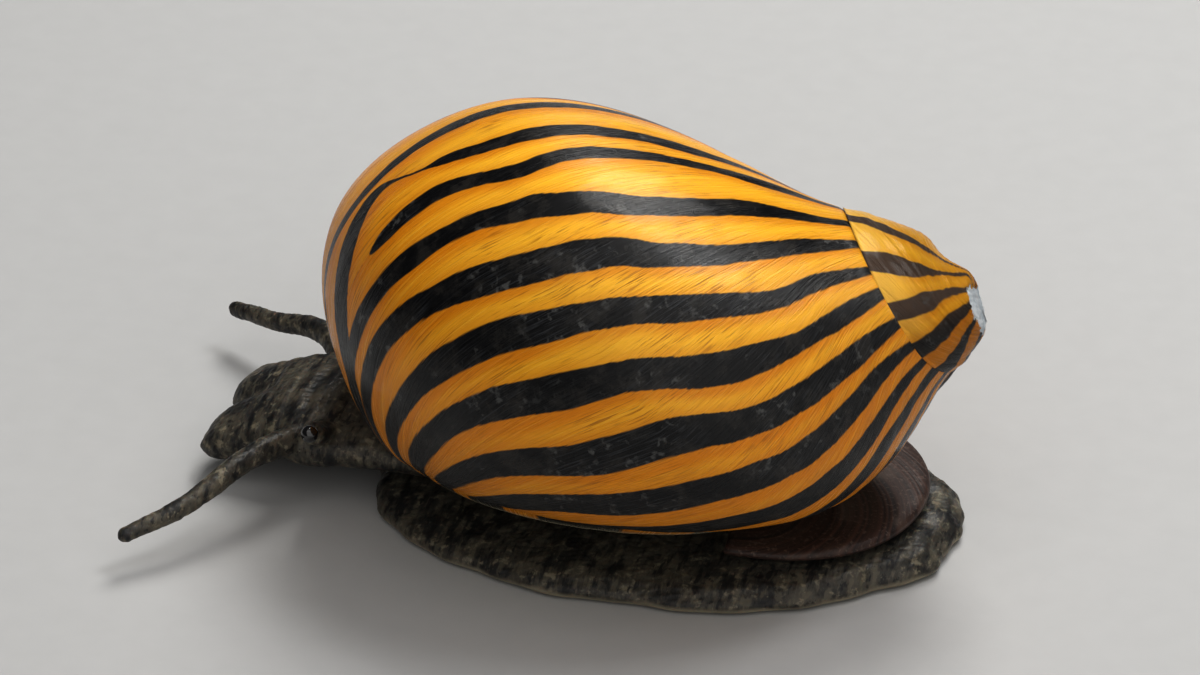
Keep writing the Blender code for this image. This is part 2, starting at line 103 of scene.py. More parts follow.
# Black bands of the body whorl, in degrees of turn, at these places along the whorl from suture to front.
BAND_PLACES = np.array([0.0, 0.05, 0.1, 0.2, 0.3, 0.4, 0.6, 0.65, 0.7, 0.85])
BODY_BANDS = [
    (160, 147, 135, 119.3, 113, 111, 107, 104, 101.3, 96),
    (136, 123, 111, 101.2, 98.2, 96.1, 96.3, 98.6, 92.8, 70),
    (122, 109, 100.7, 91.7, 88.3, 85.5, 86.4, 84.6, 82.4, 77),
    (98.6, 88.6, 81.7, 73.5, 73.6, 74.6, 74.8, 74, 73.1, 70),
    (80.5, 71, 63.6, 59.6, 60.5, 61.1, 61.9, 62.4, 62.7, 61.5),
    (61.7, 54.2, 46.5, 45.2, 46, 47.1, 49, 48.9, 48.6, 48),
    (46.7, 37.4, 30.9, 28.2, 30.4, 32.2, 34.2, 35.1, 35.6, 35),
    (26.7, 19.3, 14.7, 11.6, 14, 15, 15.8, 17.8, 19.6, 21),
    (8.3, 3.6, -2, -6, -4.2, -3.5, -1.5, 0.8, 2.8, 5),
    (-8, -14, -19.5, -24, -23.5, -22.5, -20, -18, -16, -12),
]
BODY_BAND_WIDTHS = [
    (4, 4, 4, 5, 5, 4.8, 4, 3.6, 3.2, 3),
    (5, 5, 5, 4.6, 4.6, 4.2, 3.3, 3.2, 7.8, 10),
    (7, 6.5, 5, 4, 4.6, 4.3, 4.2, 4, 3.8, 3),
    (6, 6.5, 7, 6.6, 6.3, 6.1, 4.4, 5.5, 4.9, 5),
    (5.5, 8, 6.6, 6.2, 7.5, 7.4, 7.1, 6.2, 6, 6),
    (5, 7.5, 6.2, 7.3, 6.9, 6.6, 7.4, 7.1, 6.9, 7),
    (7.5, 8.7, 7.4, 9.3, 8.2, 7.6, 8.7, 8, 7.3, 8),
    (7.5, 10, 9.8, 9, 9.7, 10, 9.6, 9, 8.6, 9),
    (7, 8.7, 10, 9.6, 9.8, 9.6, 10.6, 10.3, 10, 10),
    (7.5, 8, 8.5, 10, 10.5, 10.5, 11, 11, 11, 11),
]
PINCHED_BAND = 1
PINCH_PLACE = 0.607
PINCH_LENGTH = 0.034
PINCH_DEPTH = 0.72
SHORT_BAND = 2
SHORT_BAND_END = 0.69
SHORT_BAND_ROUNDING = 0.035
# Bands under the left flank and down the right one: first turn, spacing, width and share of the rise.
HIDDEN_BANDS = ((-41.0, -17.5, 9.5, 0.6), (125.5, 13.5, 5.6, 1.0))
HIDDEN_BAND_RISE = 26
# Turn round which the amber is golden: partly its own tone, partly painted light on the lit flank, with deeper
# orange away from it as painted shade.
LIT_GOLDEN_TURN = 70

# Black bands of the whorl before it, from the body whorl's suture (0) in to its own (1).
SPIRE_PLACES = np.array([0.0, 0.1, 0.2, 0.3, 0.4, 0.5, 0.6, 0.8, 1.0])
SPIRE_BANDS = [
    (104.5, 102, 97, 94, 94, 96, 99, 105, 112),
    (68, 66, 63.8, 64.6, 65.5, 68, 71, 78, 89),
    (33, 34, 36, 39, 41, 43.5, 45, 47, 52),
    (2, 4, 7, 11, 13, 14, 17, 21, 25),
    (-34, -30, -25, -19.5, -15, -12, -9, -4, 0),
    (-68, -65, -60, -55, -50, -47, -44, -38, -32),
]
SPIRE_BAND_WIDTHS = [
    (9, 10, 10, 8.5, 7, 6, 6, 6, 6),
    (13, 17, 15, 10, 7, 5.5, 6, 8, 9),
    (15, 15, 17, 12, 9.5, 10.5, 10, 10, 12),
    (16.5, 15, 16.5, 15.5, 15, 15, 13, 12, 12),
    (22, 19, 15, 11, 9, 8, 8, 8, 8),
    (16, 16, 15, 14, 13, 12, 12, 12, 12),
]

# Photograph's view: the image is 1200 x 675, and the apex sits at this pixel.
IMAGE_SIZE = (1200, 675)
APEX_PIXEL = (999.0, 291.2)
FOCAL_PIXELS = 5000.0
APEX_DISTANCE = 165.0
CAMERA_AZIMUTH = math.radians(16.53)
CAMERA_RISE = math.radians(30)
SENSOR_WIDTH = 36
VIEW_GAMMA = 0.80


def smoothstep(value, low, high):
    part = np.clip((value - low) / (high - low), 0, 1)
    return part * part * (3 - 2 * part)


def spline(knots, values, at):
    """Smooth values between knots, each slope taken from the knots beside it."""
    knots, values = np.asarray(knots, float), np.asarray(values, float)
    slope = np.gradient(values, knots, axis=0)
    at = np.clip(np.asarray(at, float), knots[0], knots[-1])
    left = np.clip(np.searchsorted(knots, at, side="right") - 1, 0, len(knots) - 2)
    width = knots[left + 1] - knots[left]
    part = (at - knots[left]) / width
    if values.ndim > 1:
        part, width = part[..., None], width[..., None]
    return ((1 + 2 * part) * (1 - part) ** 2 * values[left]
            + part * (1 - part) ** 2 * width * slope[left]
            + part ** 2 * (3 - 2 * part) * values[left + 1]
            + part ** 2 * (part - 1) * width * slope[left + 1])


def wobble(*coordinates, seed=0, waves=6):
    """A smooth, repeatable unevenness between about -1 and 1, from a few sines."""
    pick = np.random.default_rng(seed)
    total = 0
    for _ in range(waves):
        phase = pick.uniform(0, 2 * math.pi)
        for values in coordinates:
            phase = phase + values * pick.normal(0, 1)
        total = total + np.sin(phase)
    return total / math.sqrt(waves / 2) / 2


# Shell shape.

def suture(turn):
    grown = SUTURE_GROWTH ** (turn / 360)
    return SUTURE_RADIUS * grown, SUTURE_DROP * grown


def shell_point(turn, radius, drop):
    angle = np.radians(turn)
    return np.stack([radius * np.cos(angle), radius * np.sin(angle), drop], axis=-1)


def whorl(turn, along):
    """Points on the last whorl, for arrays of turn and of along: suture 0, widest 0.5, front 1."""
    seam_radius, seam_drop = suture(turn)
    past = np.maximum(turn - DROP_SETTLES_AT, 0)
    settled = np.minimum(turn, DROP_SETTLES_AT) + DROP_SETTLES_OVER * (1 - np.exp(-past / DROP_SETTLES_OVER))
    widest_radius = WIDEST_RADIUS * RADIUS_GROWTH ** (turn / 360)
    widest_drop = WIDEST_DROP * DROP_GROWTH ** (settled / 360)
    base_power = UNDER_BASE_POWER + (BASE_POWER - UNDER_BASE_POWER) * smoothstep(turn, 7, 87)
    rise = np.sin(np.clip(along, 0, 0.5) * math.pi)
    fall = np.sin((np.clip(along, 0.5, 1) - 0.5) * math.pi)
    swell = (1 - (1 - rise) ** SHOULDER_POWER) ** (1 / SUTURE_POWER)
    above = seam_radius + (widest_radius - seam_radius) * swell
    below = widest_radius * np.clip(1 - fall ** base_power, 0, 1) ** (1 / base_power)
    radius = np.where(along < 0.5, above, below)
    drop = np.where(along < 0.5, seam_drop + (widest_drop - seam_drop) * rise,
                    widest_drop + (AXIS_LENGTH - widest_drop) * fall)
    lean = FRONT_LEAN * np.sin(np.radians(turn - LEAN_TURN)) * smoothstep(fall, 0, 1)
    dip = FRONT_DIP * fall[..., None] ** 4 * LIP_NORMAL_IN_SHELL
    return shell_point(turn, radius, drop + lean * radius) - dip


def span(along):
    """Even distance along the profile: suture 0, widest 0.6, front 1."""
    return np.where(along < 0.5, 0.6 * np.sin(np.clip(along, 0, 0.5) * math.pi),
                    0.6 + 0.4 * np.sin((np.clip(along, 0.5, 1) - 0.5) * math.pi))


def lip_height(points):
    """How far points of the shell's frame lie over the plane of the lip."""
    return (points @ SHELL_AXES + APEX - FRONT_END) @ LIP_NORMAL


def lip_crossings(turns):
    """Where along the whorl its surface dips under the plane of the lip, for each turn."""
    along = np.linspace(0.08, 1.0, 700)
    grid_turn, grid_along = np.meshgrid(turns, along, indexing="ij")
    height = lip_height(whorl(grid_turn, grid_along))
    first = np.argmax(height < 0, axis=1)
    before = np.maximum(first - 1, 0)
    rows = np.arange(len(turns))
    high, low = height[rows, before], height[rows, first]
    share = np.where(high > low, np.clip(high / np.where(high > low, high - low, 1), 0, 1), 1)
    return along[before] + share * (along[first] - along[before])


def settled_on_lip(points):
    """Lift what would lie under the lip's plane to it, crisply at the lip, roundly at the left flank."""
    height = lip_height(points)
    rounding = BASE_ROUNDING + (LIP_ROUNDING - BASE_ROUNDING) * smoothstep(-points[..., 0], -3, 1)
    lifted = 0.5 * (height + np.sqrt(height ** 2 + rounding ** 2))
    return points + (lifted - height)[..., None] * LIP_NORMAL_IN_SHELL


def settling_turn(points):
    """How far round the axis, in degrees, settling on the lip moves points."""
    settled = settled_on_lip(points)
    cross = points[..., 0] * settled[..., 1] - points[..., 1] * settled[..., 0]
    return np.degrees(np.arctan2(cross, np.sum(points[..., :2] * settled[..., :2], axis=-1)))


def spire_drop(turn, radius):
    """Drop of the older whorls at a radius: a cone that swells between sutures and ends in a worn flat."""
    seam_turn = 360 * np.log(radius / SUTURE_RADIUS) / math.log(SUTURE_GROWTH)
    phase = ((turn - seam_turn) / 360) % 1.0
    bulge = SPIRE_BULGE * 4 * phase * (1 - phase) * smoothstep(radius, TIP_RADIUS, 2.8 * TIP_RADIUS)
    swell = TIP_SWELL * (1 + 0.4 * np.cos(np.radians(turn - WORN_TURN)))
    swell = swell * np.exp(-(np.maximum(radius - TIP_RADIUS, 0) / TIP_RADIUS) ** 2)
    cone = radius * (SUTURE_DROP / SUTURE_RADIUS - bulge) - swell
    return (cone + TIP_DROP + np.sqrt((cone - TIP_DROP) ** 2 + TIP_ROUNDING ** 2)) / 2


def to_world(points):
    return (points @ SHELL_AXES + APEX) * MM


def grid_normals(points):
    """Unit normals of a grid whose columns close round, pointing away from its axis side."""
    down = np.gradient(points, axis=0)
    around = np.roll(points, -1, axis=1) - np.roll(points, 1, axis=1)
    normal = np.cross(around, down)
    return normal / np.maximum(np.linalg.norm(normal, axis=-1, keepdims=True), 1e-9)


def scene_object(name, data):
    made = bpy.data.objects.new(name, data)
    bpy.context.collection.objects.link(made)
    return made


def closed_mesh(name, rows, start, end, marks=None):
    """One closed surface through rows of points that close round, fanned to a point at each end."""
    row_count, count = rows.shape[:2]
    points = np.concatenate([rows.reshape(-1, 3), [start], [end]])
    first, last = len(points) - 2, len(points) - 1
    step = np.arange(count)
    after = (step + 1) % count
    base = (np.arange(row_count - 1) * count)[:, None]
    quads = np.stack([base + step, base + after, base + count + after, base + count + step], axis=-1)
    quads = quads.reshape(-1, 4)
    corner = points[quads]
    volume = np.sum(np.cross(corner[:, 1] - corner[:, 0], corner[:, 2] - corner[:, 0])
                    * (corner[:, 0] - points.mean(axis=0)))
    end_base = (row_count - 1) * count
    fans = [(first, b, a) for a, b in zip(step, after)]
    fans += [(last, end_base + a, end_base + b) for a, b in zip(step, after)]
    faces = quads.tolist() + fans
    if volume < 0:
        faces = [face[::-1] for face in faces]
    mesh = bpy.data.meshes.new(name)
    mesh.from_pydata(points.tolist(), [], faces)
    for mark, values in (marks or {}).items():
        flat = np.concatenate([values.reshape(-1), [values[0].mean(), values[-1].mean()]])
        mesh.attributes.new(mark, "FLOAT", "POINT").data.foreach_set("value", flat.astype(np.float32))
    mesh.shade_smooth()
    return scene_object(name, mesh)


def coil_turns(count):
    """The turns of the profiles, closest together along the right flank's lip and at the step behind it."""
    turn = np.linspace(CORNER_TURN - 360, CORNER_TURN, 4000)
    passed = np.cumsum(1 + 2.5 * np.exp(-((turn - FLANK_TURN) / 9) ** 2)
                       + 3 * np.exp(-((turn - LIP_TURN - LIP_STEP / 2) / 4) ** 2))
    return np.interp(np.linspace(passed[0], passed[-1], count, endpoint=False), passed, turn)


def around_corner(profile, turns):
    """Past the lip the profiles run back to those of the whorl a full turn younger, one closed coil."""
    share = smoothstep(turns, LIP_TURN, LIP_TURN + LIP_STEP)
    here, marks = profile(turns)
    younger, younger_marks = profile(np.where(share > 0, turns - 360, turns))
    blend = share[None, :]
    points = here + (younger - here) * blend[..., None]
    return points, {name: marks[name] + (younger_marks[name] - marks[name]) * blend for name in marks}


def band_depth(turn, place, places, bands, widths, radius):
    """How deep in a black band each point lies, in millimetres, below zero between bands.

    Also how far up it lies from the band under it (0) to the band over it (1).
    """
    deepest = np.full(turn.shape, -9.0)
    under, over = np.full(turn.shape, 9.0), np.full(turn.shape, 9.0)
    for centres, wide in zip(bands, widths):
        width = wide(place) if callable(wide) else spline(places, wide, place)
        ahead = spline(places, centres, place) - turn
        deepest = np.maximum(deepest, width / 2 - np.abs(ahead))
        clear = np.maximum(np.abs(ahead) - width / 2, 0.01)
        over = np.where(ahead > 0, np.minimum(over, clear), over)
        under = np.where(ahead <= 0, np.minimum(under, clear), under)
    return deepest * np.radians(1) * radius, under / (under + over)


def body_band_widths():
    """Widths of the bands along the whorl: one is pinched to a hairline, and the next one ends early."""
    places, pinch, end = span(BAND_PLACES), span(np.array(PINCH_PLACE)), span(np.array(SHORT_BAND_END))
    widths = list(BODY_BAND_WIDTHS)

    def pinched_width(place):
        pinched = PINCH_DEPTH * np.exp(-((place - pinch) / PINCH_LENGTH) ** 4)
        return spline(places, BODY_BAND_WIDTHS[PINCHED_BAND], place) * (1 - pinched)

    def short_width(place):
        rounded_end = np.sqrt(np.clip((end - place) / SHORT_BAND_ROUNDING, 0, 1))
        full = spline(places, BODY_BAND_WIDTHS[SHORT_BAND], place)
        return full * rounded_end - 2 * smoothstep(place, end, 1)

    widths[PINCHED_BAND], widths[SHORT_BAND] = pinched_width, short_width
    return widths


def hidden_bands():
    """Bands of the flanks that the photograph doesn't show, carried on from those it does."""
    pick = np.random.default_rng(11)
    centres, widths = [], []
    lean = HIDDEN_BAND_RISE * np.exp(-BAND_PLACES / 0.09)
    for turn, step, wide, share in HIDDEN_BANDS:
        while -125 < turn < 275:
            sway = pick.normal(0, 0.75, len(BAND_PLACES))
            centres.append(turn + share * lean + sway)
            widths.append(wide * np.clip(pick.normal(1, 0.13, len(BAND_PLACES)), 0.6, 1.4))
            turn += step * pick.uniform(0.86, 1.14)
    return centres, widths


def growth_turns(along):
    """The turn that the growing lip had reached at each place along the whorl."""
    turns = np.arange(214, 118, -2.0)
    places = np.concatenate([[0], span(lip_crossings(turns)), [1]])
    return np.interp(span(along), places, np.concatenate([[240], turns, [100]]))


def growth_relief(growth, along):
    """Height in millimetres of the fine ridges that follow the former lips."""
    ripple = 0.010 * wobble(growth / 1.1, along * 1.5, seed=1, waves=5)
    ripple = ripple + 0.016 * wobble(growth / 3.2, along * 2.0, seed=2, waves=5)
    return ripple + 0.022 * wobble(growth / 9.0, along * 1.2, seed=3, waves=4)


# Rows and columns of the shell meshes, and how far down the axis they close.
BODY_ROWS = 230
BODY_COLUMNS = 880
BODY_CLOSES_AT = 3.7
SPIRE_ROWS = 190
SPIRE_COLUMNS = 720
SPIRE_CLOSES_AT = 3.4


def body_rows(turns):
    """The body whorl from its suture to the lip, with the marks that its colours need."""
    share = np.linspace(0, 1, BODY_ROWS)[:, None] ** 1.15
    along = share * lip_crossings(turns)[None, :]
    turn = np.broadcast_to(turns[None, :], along.shape)
    points = whorl(turn, along)
    normal = grid_normals(points)
    normal *= np.sign(np.sum(normal[60] * (points[60] - points.mean(axis=(0, 1)))))
    growth = turn - growth_turns(along)
    place = span(along)
    edge = 0.07 * np.exp(-along / 0.02) - 0.22 * np.exp(-along / 0.003)
    points = points + (edge + growth_relief(growth, place) * smoothstep(along, 0, 0.05))[..., None] * normal
    radius = np.linalg.norm(points[..., :2], axis=-1)
    sway = turn + settling_turn(points)
    sway = sway + 0.45 * wobble(place * 15, turn / 4, seed=5) + 0.25 * wobble(place * 42, turn / 2, seed=6)
    hidden_centres, hidden_widths = hidden_bands()
    band, up_band = band_depth(sway, place, span(BAND_PLACES), BODY_BANDS + hidden_centres,
                               body_band_widths() + hidden_widths, radius)
    # Golden round the lit flank and towards the suture, deep orange elsewhere: partly own tone, partly painted
    # light and shade; less golden towards the band above.
    golden = smoothstep(np.abs(turn - LIT_GOLDEN_TURN), 85, 25) * smoothstep(place, 0.95, 0.5)
    golden = golden * 0.75 + 0.25 - 0.55 * smoothstep(up_band, 0.35, 0.95)
    return points, {"band": band, "growth": growth, "along": place, "golden": golden}


def aperture_outline(inset, tooth_height, count=1400):
    """The aperture's D in the lip's plane: an inset of the lip, closed by the toothed edge of the deck."""
    turns = np.linspace(60, LIP_TURN, 300)
    rim = (whorl(turns, lip_crossings(turns)) @ SHELL_AXES + APEX - FRONT_END)[:, :2]
    rim = evenly_spaced(rim, 400)
    step = np.gradient(rim, axis=0)
    inward = np.stack([-step[:, 1], step[:, 0]], axis=-1) / np.linalg.norm(step, axis=1)[:, None]
    inward *= np.sign(np.sum(inward[200] * (rim.mean(axis=0) - rim[200])))
    inner = rim + inset * inward
    right = -LEFTWARD[:2]
    curve = evenly_spaced(inner[inner @ right > DECK_EDGE + inset], count)
    share = np.linspace(0, 1, count // 2)[1:-1]
    teeth = tooth_height * np.sin(math.pi * share) * (0.5 - 0.5 * np.cos(2 * math.pi * TOOTH_COUNT * share))
    straight = curve[-1] + share[:, None] * (curve[0] - curve[-1])
    return np.concatenate([curve, straight + teeth[:, None] * right])


def evenly_spaced(curve, count):
    travelled = np.concatenate([[0], np.cumsum(np.linalg.norm(np.diff(curve, axis=0), axis=1))])
    even = np.linspace(0, travelled[-1], count)
    return np.stack([np.interp(even, travelled, curve[:, side]) for side in range(curve.shape[1])], axis=-1)


def lip_to_shell(flat, height):
    """Points given in the lip's plane, and a height over it, in the shell's frame."""
    world = FRONT_END + flat[..., :1] * LIP_FORWARD + flat[..., 1:] * np.array([0, 1, 0])
    world = world + height[..., None] * LIP_NORMAL
    return (world - APEX) @ SHELL_AXES.T


def shell_to_lip(points):
    offset = points @ SHELL_AXES + APEX - FRONT_END
    return np.stack([offset @ LIP_FORWARD, offset[..., 1]], axis=-1), offset @ LIP_NORMAL


def underside_rows(rim):
    """From the rim over the flat callus to the aperture, round its edge and up the walls of the pocket."""
    flat, height = shell_to_lip(rim)
    outline = aperture_outline(LIP_THICKNESS, TOOTH_HEIGHT)
    middle = outline.mean(axis=0)
    spread = outline - middle
    angle = np.arctan2(spread[:, 1], spread[:, 0])
    order = np.argsort(angle)
    reach = np.linalg.norm(spread, axis=1)[order]
    away = flat - middle
    heading = np.arctan2(away[:, 1], away[:, 0])
    inner = np.interp(heading, angle[order], reach, period=2 * math.pi)
    edge = middle + inner[:, None] * np.stack([np.cos(heading), np.sin(heading)], axis=-1)
    width = np.linalg.norm(flat - edge, axis=1)
    rows, callus = [], []
    for share in np.concatenate([np.linspace(0.01, 0.25, 12), np.linspace(0.29, 0.93, 22)]):
        ring = flat + share * (edge - flat)
        fade = np.clip(1 - share * width / np.minimum(0.5 * width, 1.6), 0, 1) ** 2
        swell = -0.10 * np.sin(math.pi * share) * smoothstep(width, 1.5, 5)
        rows.append(lip_to_shell(ring, height * fade + swell))
        callus.append(smoothstep(share * width, 0.1, 0.9))
    outward = (edge - middle) / np.linalg.norm(edge - middle, axis=1, keepdims=True)
    rings = [(edge + out * outward, up) for out, up in POCKET_PROFILE]
    top = rings[-1][0] - middle
    rings += [(middle + share * top, POCKET_DEPTH) for share in (0.6, 0.25)]
    for ring, up in rings:
        rows.append(lip_to_shell(ring, np.full(len(edge), up)))
        callus.append(np.ones(len(edge)))
    roof = lip_to_shell(middle[None, :], np.array([POCKET_DEPTH]))[0]
    return np.array(rows), np.array(callus), roof


def make_body():
    turns = coil_turns(BODY_COLUMNS)
    points, marks = around_corner(body_rows, turns)
    points = settled_on_lip(points)
    below, callus, roof = underside_rows(points[-1])
    floor = np.array([0, 0, BODY_CLOSES_AT])
    seat = np.array([floor + share * (points[0] - floor) for share in (0.35, 0.7, 0.93)])
    rows = np.concatenate([seat, points, below])
    inside = np.zeros((len(seat), len(turns)))
    behind = smoothstep(turns, LIP_TURN - 2, LIP_TURN + 1)
    behind = behind * smoothstep(turns, CORNER_TURN, LIP_TURN + LIP_STEP)
    behind = np.broadcast_to(behind, points.shape[:2])
    full = {"callus": np.concatenate([inside, behind, np.maximum(callus, behind[:1])])}
    for name, values in marks.items():
        full[name] = np.concatenate([np.repeat(values[:1], len(seat), axis=0), values,
                                     np.repeat(values[-1:], len(below), axis=0)])
    full["worn"] = np.full_like(full["callus"], NOT_WORN)
    full["older"] = np.zeros_like(full["callus"])
    return closed_mesh("body_whorl_shell", to_world(rows), to_world(floor), to_world(roof), full)


def spire_rows(turns):
    """The older whorls, from the worn tip out to the body whorl's suture."""
    seam_radius, seam_drop = suture(turns)
    share = np.linspace(0, 1, SPIRE_ROWS)[:, None]
    radius = 0.1 * (seam_radius * 0.998 / 0.1) ** share
    turn = np.broadcast_to(turns[None, :], radius.shape)
    drop = spire_drop(turn, radius)
    phase = np.log(seam_radius / radius) / math.log(SUTURE_GROWTH)
    growth = turn + 30 * np.clip(phase, 0, 1) + 360 * phase
    points = shell_point(turn, radius, drop)
    normal = grid_normals(points)
    normal *= -np.sign(np.sum(normal[-30] * np.array([0, 0, 1.0])))
    heading = np.array([math.cos(math.radians(WORN_TURN)), math.sin(math.radians(WORN_TURN))])
    inside = WORN_RADIUS - np.linalg.norm(points[..., :2] - WORN_OFFSET * heading, axis=-1)
    wear = np.minimum(inside, points[..., :2] @ heading - WORN_EDGE)
    wear = wear + 0.04 * wobble(points[..., 0] * 5, points[..., 1] * 5, seed=8)
    worn = smoothstep(wear, -0.06, 0.06)
    pits = (0.02 * wobble(points[..., 0] * 12, points[..., 1] * 12, seed=9, waves=9) - 0.04) * worn
    relief = 0.55 * growth_relief(growth, phase) * (1 - worn) * smoothstep(phase, 0, 0.05)
    relief = relief + 0.045 * np.exp(-((phase - 0.05) / 0.035) ** 2)
    points = points + (relief + pits)[..., None] * normal
    sway = turn + 0.8 * wobble(phase * 14, turn / 6, seed=15) + 0.6 * wobble(phase * 40, turn / 3, seed=16)
    band, up_band = band_depth(sway, np.minimum(phase, 1), SPIRE_PLACES, spire_band_centres(),
                               spire_band_widths(), radius)
    # On the spire too, golden round the lit turns is partly own tone, partly painted light; less golden
    # towards the band above.
    golden = smoothstep(np.abs(turn - LIT_GOLDEN_TURN), 85, 25) * 0.8 + 0.2
    golden = golden - 0.4 * smoothstep(up_band, 0.35, 0.95)
    return points, {"band": band, "growth": growth, "along": phase, "worn": wear, "golden": golden}


def spire_band_centres():
    """Bands that the photograph shows, and the rest of the turn carried on from them."""
    pick = np.random.default_rng(21)
    slope = np.linspace(0, 16, len(SPIRE_PLACES))
    hidden = [turn + slope + pick.normal(0, 1.2, len(SPIRE_PLACES)) for turn in (-101, 138, 172, 205, 238)]
    return SPIRE_BANDS + hidden


def spire_band_widths():
    pick = np.random.default_rng(22)
    hidden = [14 * np.clip(pick.normal(1, 0.12, len(SPIRE_PLACES)), 0.6, 1.3) for _ in range(5)]
    return SPIRE_BAND_WIDTHS + hidden


def make_spire():
    turns = coil_turns(SPIRE_COLUMNS)
    points, marks = around_corner(spire_rows, turns)
    floor = np.array([0, 0, SPIRE_CLOSES_AT])
    rim = points[-1] * (1.02, 1.02, 1) + (0, 0, 0.1)
    seat = np.array([floor + share * (rim - floor) for share in (1.0, 0.7, 0.35)])
    full = {name: np.concatenate([values, np.repeat(values[-1:], len(seat), axis=0)])
            for name, values in marks.items()}
    full["callus"] = np.zeros_like(full["band"])
    full["older"] = np.ones_like(full["band"])
    rows = np.concatenate([points, seat])
    tip = points[0].mean(axis=0)
    return closed_mesh("spire_shell", to_world(rows), to_world(tip), to_world(floor), full)


# Materials.

# Deep and golden amber: the golden tone partly stands in as painted light on the lit flank, the deep one as
# painted shade.
DEEP_AMBER = (0.74, 0.265, 0.005)
GOLDEN_AMBER = (0.93, 0.505, 0.034)
LIGHT_LINE = (0.97, 0.60, 0.060)
BROWN_LINE = (0.50, 0.165, 0.005)
SCRATCHED_AMBER = (0.30, 0.095, 0.006)
BAND_MARGIN = (0.60, 0.20, 0.005)
# Pale gold by the suture on the spire's top: a painted highlight.
SUTURE_HIGHLIGHT = (0.98, 0.60, 0.11)
BAND_BLACK = (0.0030, 0.0029, 0.0034)
SPIRE_BLACK = (0.009, 0.007, 0.006)
# Older spire blacks are brownish; the lighter brown on the spire's top is partly a painted highlight.
SPIRE_BROWN_AND_SHEEN = (0.100, 0.064, 0.044)
SCUFFED_BLACK = (0.070, 0.074, 0.082)
DUSTY_BLACK = (0.048, 0.043, 0.037)
FLAKED_BLACK = (0.13, 0.13, 0.125)
CALLUS_CREAM = (0.72, 0.66, 0.48)
CALLUS_TAN = (0.58, 0.49, 0.30)
CHALK_WHITE = (0.92, 0.96, 0.99)
CHALK_GREY = (0.68, 0.75, 0.81)


class Nodes:
    """Short ways to add shader nodes to one material."""

    def __init__(self, name):
        self.material = bpy.data.materials.new(name)
        self.material.use_nodes = True
        self.tree = self.material.node_tree
        self.shader = self.tree.nodes["Principled BSDF"]

    def put(self, socket, value):
        if isinstance(value, bpy.types.NodeSocket):
            self.tree.links.new(value, socket)
        else:
            socket.default_value = value

    def add(self, kind, **settings):
        node = self.tree.nodes.new(kind)
        for name, value in settings.items():
            setattr(node, name, value)
        return node

    def mark(self, name):
        return self.add("ShaderNodeAttribute", attribute_name=name).outputs["Fac"]

    def math(self, operation, *values):
        node = self.add("ShaderNodeMath", operation=operation)
        for socket, value in zip(node.inputs, values):
            self.put(socket, value)
        return node.outputs[0]

    def times(self, first, second):
        return self.math("MULTIPLY", first, second)

    def plus(self, first, second):
        return self.math("ADD", first, second)

    def about_zero(self, noise, reach):
        """Noise centred on 0 instead of a half."""
        return self.times(self.math("SUBTRACT", noise, 0.5), reach)

    def place(self):
        return self.add("ShaderNodeTexCoord").outputs["Object"]

    def step(self, value, low, high):
        node = self.add("ShaderNodeMapRange", interpolation_type="SMOOTHSTEP")
        for socket, given in zip(node.inputs, (value, low, high, 0.0, 1.0)):
            self.put(socket, given)
        return node.outputs[0]

    def vector(self, x, y, z=0.0):
        node = self.add("ShaderNodeCombineXYZ")
        for socket, value in zip(node.inputs, (x, y, z)):
            self.put(socket, value)
        return node.outputs[0]

    def noise(self, where, scale, detail=3.0, roughness=0.5):
        node = self.add("ShaderNodeTexNoise")
        for name, value in (("Vector", where), ("Scale", scale), ("Detail", detail), ("Roughness", roughness)):
            self.put(node.inputs[name], value)
        return node.outputs["Fac"]

    def mix(self, share, first, second):
        node = self.add("ShaderNodeMix", data_type="RGBA")
        self.put(node.inputs[0], share)
        for socket, colour in ((node.inputs[6], first), (node.inputs[7], second)):
            self.put(socket, (*colour, 1) if isinstance(colour, tuple) else colour)
        return node.outputs[2]

    def bump(self, height, distance, strength=1.0, below=None):
        node = self.add("ShaderNodeBump")
        for name, value in (("Strength", strength), ("Distance", distance), ("Height", height)):
            self.put(node.inputs[name], value)
        if below is not None:
            self.put(node.inputs["Normal"], below)
        return node.outputs["Normal"]

    def finish(self, colour, roughness, **shader):
        self.put(self.shader.inputs["Base Color"], colour)
        self.put(self.shader.inputs["Roughness"], roughness)
        for name, value in shader.items():
            self.put(self.shader.inputs[name.replace("_", " ")], value)
        return self.material


